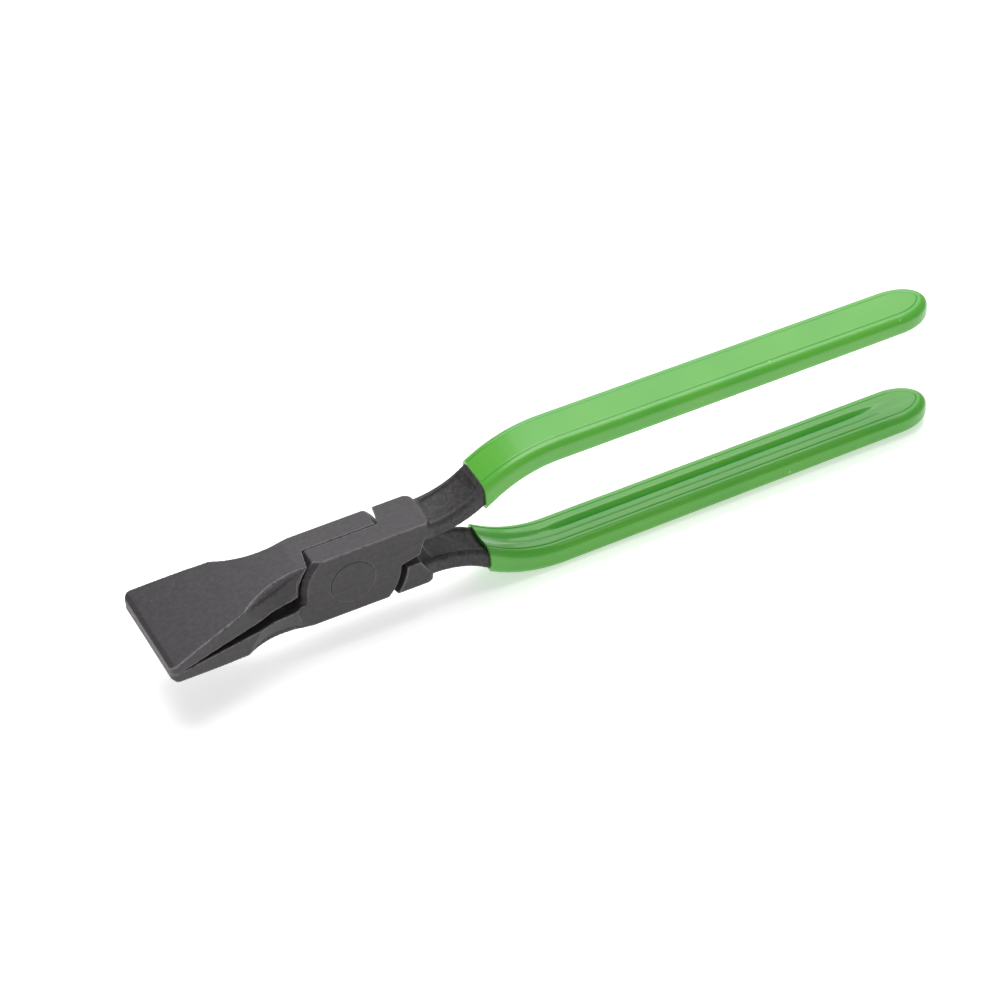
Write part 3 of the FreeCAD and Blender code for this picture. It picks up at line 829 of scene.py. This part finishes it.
def make_steel(name, with_necks):
    material = bpy.data.materials.new(name)
    material.use_nodes = True
    tree = material.node_tree
    shader = tree.nodes["Principled BSDF"]
    shader.inputs["Metallic"].default_value = 0.25
    shader.inputs["Specular IOR Level"].default_value = 0.5

    grain = effect(tree, "die_grain", Scale=650, Pit_Depth=0.5)
    lines = effect(tree, "long_streaks", Fineness=1800, Stretch=0.04)
    dust = effect(tree, "dust_specks", Scale=210, Size=0.06)

    even = ramp(tree, 0.38, 0.62)
    link(tree, (plus(tree, scaled(tree, lines.outputs["Streak"], 0.4),
                     scaled(tree, grain.outputs["Mottle"], 0.6)), even.inputs["Value"]))
    streaked = blend(tree, even.outputs["Result"], OXIDE_DARK, OXIDE)
    color = streaked
    height = plus(tree, scaled(tree, lines.outputs["Streak"], 0.2),
                  scaled(tree, grain.outputs["Mottle"], 0.3))
    rough = scaled(tree, lines.outputs["Streak"], 0.12, 0.42)
    if with_necks:
        place = node(tree, "TexCoord")
        axes = node(tree, "SeparateXYZ")
        forged = ramp(tree, NECK_START, NECK_START + NECK_BLEND)
        link(tree, (place.outputs["Object"], axes.inputs[0]), (axes.outputs["X"], forged.inputs["Value"]))
        mottle = ramp(tree, 0.36, 0.64)
        tree.links.new(grain.outputs["Mottle"], mottle.inputs["Value"])
        scale_color = blend(tree, mottle.outputs["Result"], SCALE_DARK, OXIDE)
        color = blend(tree, forged.outputs["Result"], streaked, scale_color)
        height = plus(tree, height, times(tree, forged.outputs["Result"], grain.outputs["Height"]))
        rough = plus(tree, rough, scaled(tree, forged.outputs["Result"], 0.1))
        wear = effect(tree, "edge_wear_and_crease_shade", Low=0.506, High=0.54, Breakup=600)
        worn = times(tree, wear.outputs["Mask"], scaled(tree, forged.outputs["Result"], -0.65, 0.75))
        color = blend(tree, worn, color, RUBBED)
    color = blend(tree, scaled(tree, dust.outputs["Mask"], 0.5), color, RUBBED)
    link(tree, (color, shader.inputs["Base Color"]), (rough, shader.inputs["Roughness"]),
         (bump(tree, height, 0.00006), shader.inputs["Normal"]))
    return material


forged_steel = make_steel("oxide_forged_steel", with_necks=True)
rivet_steel = make_steel("oxide_rivet_steel", with_necks=False)
print("steel finishes", forged_steel.name, rivet_steel.name)

# %% Make the green dip
GREEN = (0.084, 0.37, 0.027)
GREEN_DEEP = (0.066, 0.35, 0.025)
# painted shade: a darker green for the concave creases, grooves and the mouth's gap
PAINTED_CREASE_SHADE = (0.010, 0.30, 0.020)
SPECK = (0.35, 0.6, 0.12)


def make_dip(name):
    material = bpy.data.materials.new(name)
    material.use_nodes = True
    tree = material.node_tree
    shader = tree.nodes["Principled BSDF"]
    shader.inputs["Specular IOR Level"].default_value = 0.45
    shader.inputs["Coat Roughness"].default_value = 0.12
    shader.inputs["Coat Weight"].default_value = 0.35
    place = node(tree, "TexCoord")
    cloud = node(tree, "TexNoise", Scale=38.0, Detail=1.0)
    tree.links.new(place.outputs["Object"], cloud.inputs["Vector"])
    thick = ramp(tree, 0.35, 0.65)
    tree.links.new(cloud.outputs["Fac"], thick.inputs["Value"])
    lines = effect(tree, "long_streaks", Fineness=900, Stretch=0.05)
    dust = effect(tree, "dust_specks", Scale=190, Size=0.08)
    color = blend(tree, thick.outputs["Result"], GREEN_DEEP, GREEN)
    # Painted crease shade: where the surface turns inwards (faint lines, channel edges, mouth gap) the
    # colour is darkened.
    painted_crease_shade = effect(tree, "edge_wear_and_crease_shade", Low=0.497, High=0.47, Breakup=300)
    color = blend(tree, painted_crease_shade.outputs["Step"], color, PAINTED_CREASE_SHADE)
    color = blend(tree, scaled(tree, dust.outputs["Mask"], 0.8), color, SPECK)
    rough = scaled(tree, lines.outputs["Streak"], 0.12, 0.27)
    link(tree, (color, shader.inputs["Base Color"]), (rough, shader.inputs["Roughness"]),
         (bump(tree, lines.outputs["Streak"], 0.00002), shader.inputs["Normal"]))
    return material


green_dip = make_dip("green_dipped_plastic")
print("dip finish", green_dip.name)

# %% [markdown]
# ## Hand over
# Every piece rides on the body of the CAD node that it stands for. The upper jaw's lever
# carries the rivet and the lower handle's sleeve, because the levers cross.

# %% Give the pieces to their bodies
PIECES = [
    (forging, "lever_upper_jaw", "upper_jaw_lever", forged_steel, "forged_steel"),
    (lower_forging, "lever_lower_jaw", "lower_jaw_lever", forged_steel, "forged_steel"),
    (rivet, "pivot_rivet", "upper_jaw_lever", rivet_steel, "rivet_steel"),
    (lower_sleeve, "lower_handle_sleeve", "upper_jaw_lever", green_dip, "green_dip"),
    (sleeve, "upper_handle_sleeve", "lower_jaw_lever", green_dip, "green_dip"),
]
for piece, cad_node, body, material, slot in PIECES:
    piece.data.materials.clear()
    piece.data.materials.append(material)
    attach(piece, body)
    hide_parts(cad_node)
    print(piece.name, "rides on", body)

# %% Print how far the pieces reach past the CAD model
seen_low, seen_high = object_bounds()
inside = [*(seen_low - cad_low), *(seen_high - cad_high)]
print("visual less CAD, mm", [round(value * 1000, 2) for value in inside])
